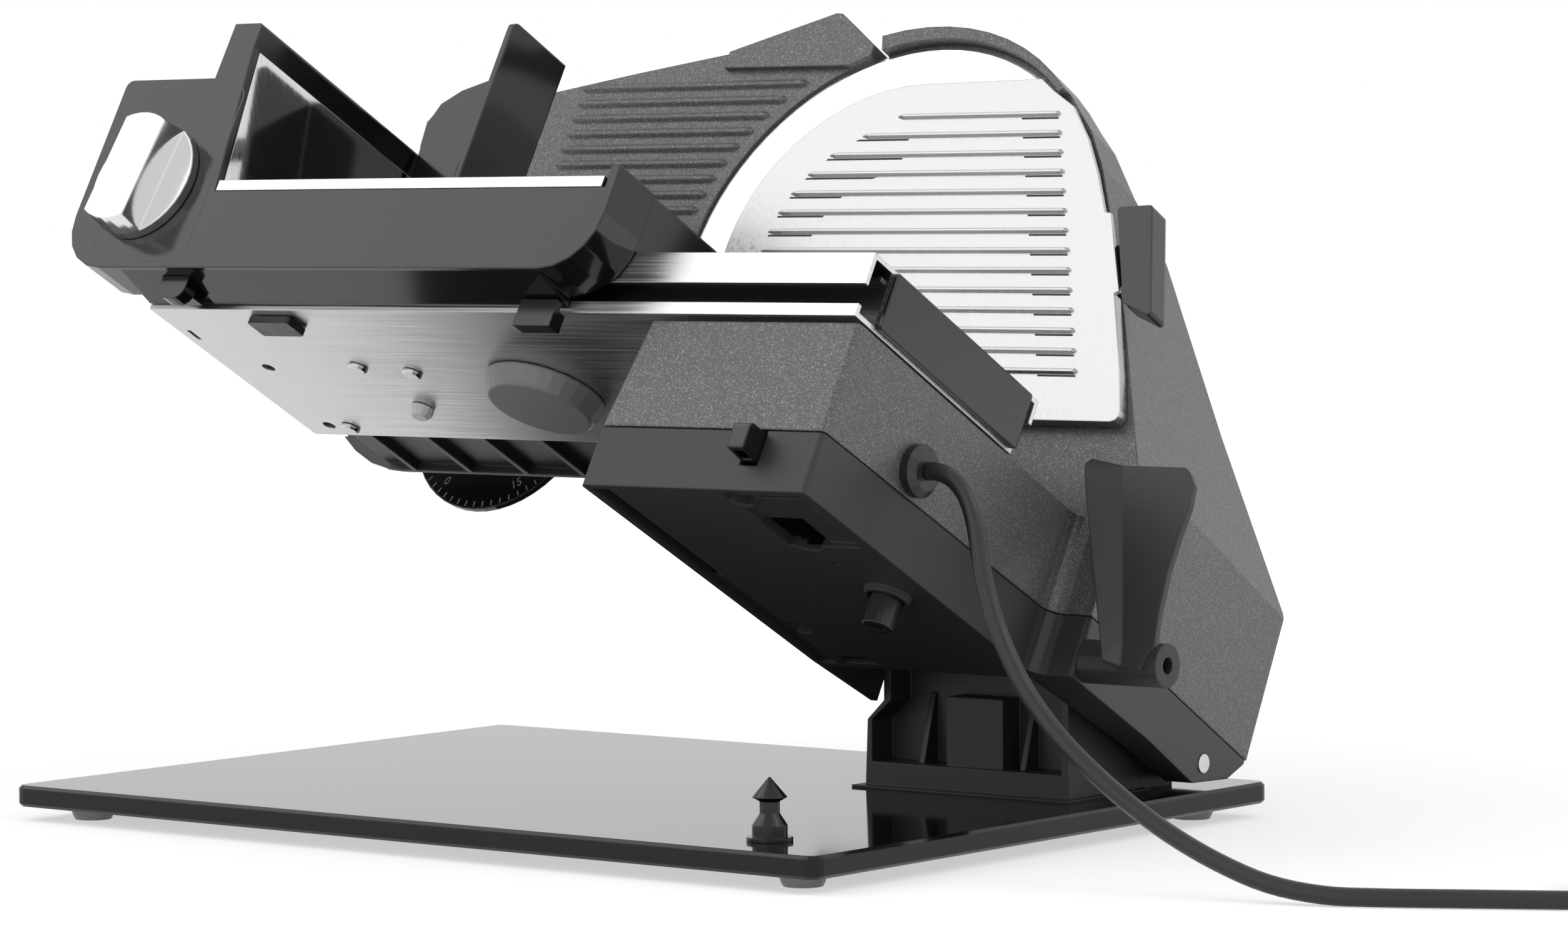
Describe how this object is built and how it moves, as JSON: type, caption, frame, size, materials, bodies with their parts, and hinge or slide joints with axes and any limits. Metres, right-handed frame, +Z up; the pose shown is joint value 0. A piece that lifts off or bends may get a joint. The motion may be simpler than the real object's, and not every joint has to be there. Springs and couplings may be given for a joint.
{
  "type": "folding food slicer",
  "caption": "Folding electric food slicer tilted up on a glass base plate, with round blade, thickness fence, sliding food carriage, lock knob and mains cord.",
  "frame": {"origin": "centre of the machine and plate's bounding box, cord left out, at the level of the table under the feet", "axes": "+X to the user's right along the carriage's slide, +Y away from the user towards the fold hinge, +Z up"},
  "size_m": [0.6534, 0.2818, 0.2883],
  "materials": {
    "black_glass": "gloss",
    "clear_rubber": "satin, translucent",
    "metallic_paint": "fine metallic, satin",
    "grey_plastic": "matte, finely grained",
    "gloss_plastic": "satin gloss",
    "black_rubber": "satin",
    "light_plastic": "satin",
    "white_plastic": "satin",
    "aluminium": "brushed",
    "stainless": "satin, brushed",
    "steel": "turned",
    "nylon": "satin"
  },
  "bodies": {
    "base": {"base_plate": "black_glass", "foot_front_left": "clear_rubber", "foot_front_right": "clear_rubber", "foot_back_left": "clear_rubber", "foot_back_right": "clear_rubber", "latch_stud": "gloss_plastic", "hinge_bracket": "grey_plastic", "hinge_pin_left": "steel", "hinge_pin_right": "steel", "cord_lead": "black_rubber", "cord_coil": "black_rubber", "mains_plug": "black_rubber"},
    "machine": {"lower_housing": "grey_plastic", "upper_housing": "metallic_paint", "rail_platform": "aluminium", "rail_cap_left": "gloss_plastic", "rail_cap_right": "gloss_plastic", "platform_screw_front_left": "steel", "platform_screw_front_right": "steel", "platform_screw_back": "steel", "housing_screw_front": "steel", "housing_screw_back": "steel", "locating_peg": "white_plastic", "round_cover": "light_plastic", "rubber_stop": "black_rubber", "drive_shell": "grey_plastic", "cover_plate": "stainless", "motor": "steel", "cable_gland": "black_rubber"},
    "fence": {"stop_plate": "metallic_paint", "guide_rod_lower": "steel", "guide_rod_upper": "steel"},
    "dial": {"thickness_dial": "gloss_plastic"},
    "blade_unit": {"blade": "stainless", "blade_axle": "steel", "blade_gear": "nylon"},
    "pinion": {"motor_pinion": "steel"},
    "cover_catch": {"cover_latch": "gloss_plastic"},
    "crank": {"side_lever": "gloss_plastic"},
    "button": {"release_button": "gloss_plastic"},
    "plunger": {"lift_plunger": "black_rubber"},
    "carriage": {"carriage_body": "gloss_plastic", "carriage_tray": "stainless", "mirror_insert": "stainless", "travel_hook": "gloss_plastic"},
    "knob": {"lock_knob": "light_plastic"},
    "brake": {"carriage_brake": "gloss_plastic"},
    "food_pusher": {"pusher": "gloss_plastic"}
  },
  "joints": [
    {"name": "fold_hinge", "type": "hinge", "parent": "base", "child": "machine", "pos_m": [-0.1885, 0.08393, 0.0221], "axis": [1, 0, 0], "range_deg": [0, 25.8]},
    {"name": "plunger_slide", "type": "slide", "parent": "machine", "child": "plunger", "axis": [0, 0.4894, 0.8721], "range_m": [0, 0.0076]},
    {"name": "dial_turn", "type": "hinge", "parent": "machine", "child": "dial", "pos_m": [-0.154, 0.08873, 0.13832], "axis": [0, 0.8721, -0.4894], "range_deg": [-6, 306]},
    {"name": "fence_slide", "type": "slide", "parent": "machine", "child": "fence", "axis": [0, 0.8721, -0.4894], "range_m": [0, 0.02]},
    {"name": "blade_spin", "type": "hinge", "parent": "machine", "child": "blade_unit", "pos_m": [0.04, 0.06838, 0.20077], "axis": [0, 0.8721, -0.4894], "continuous": true},
    {"name": "pinion_spin", "type": "hinge", "parent": "machine", "child": "pinion", "pos_m": [0.04, 0.04953, 0.15287], "axis": [0, 0.8721, -0.4894], "continuous": true},
    {"name": "cover_catch_slide", "type": "slide", "parent": "machine", "child": "cover_catch", "axis": [1, 0, 0], "range_m": [0, 0.003]},
    {"name": "crank_turn", "type": "hinge", "parent": "machine", "child": "crank", "pos_m": [0.1773, 0.00199, 0.06407], "axis": [1, 0, 0], "range_deg": [0, 45]},
    {"name": "button_slide", "type": "slide", "parent": "machine", "child": "button", "axis": [0, 0.8721, -0.4894], "range_m": [0, 0.004], "stiffness_N_per_m": 150, "springref_m": -0.001},
    {"name": "carriage_slide", "type": "slide", "parent": "machine", "child": "carriage", "axis": [1, 0, 0], "range_m": [0, 0.095]},
    {"name": "knob_turn", "type": "hinge", "parent": "carriage", "child": "knob", "pos_m": [-0.1568, -0.10091, 0.22605], "axis": [0, 0.8721, -0.4894], "range_deg": [0, 60]},
    {"name": "brake_slide", "type": "slide", "parent": "carriage", "child": "brake", "axis": [0, 0.8721, -0.4894], "range_m": [0, 0.0027]},
    {"name": "pusher_slide", "type": "slide", "parent": "carriage", "child": "food_pusher", "axis": [0, 0.8721, -0.4894], "range_m": [-0.035, 0.045]}
  ],
  "couplings": [
    {"joint": "plunger_slide", "follows": "fold_hinge", "m_per_rad": 0.01688},
    {"joint": "dial_turn", "follows": "fence_slide", "rad_per_m": 261.8},
    {"joint": "pinion_spin", "follows": "blade_spin", "ratio": -7.5},
    {"joint": "brake_slide", "follows": "knob_turn", "m_per_rad": 0.002578}
  ]
}
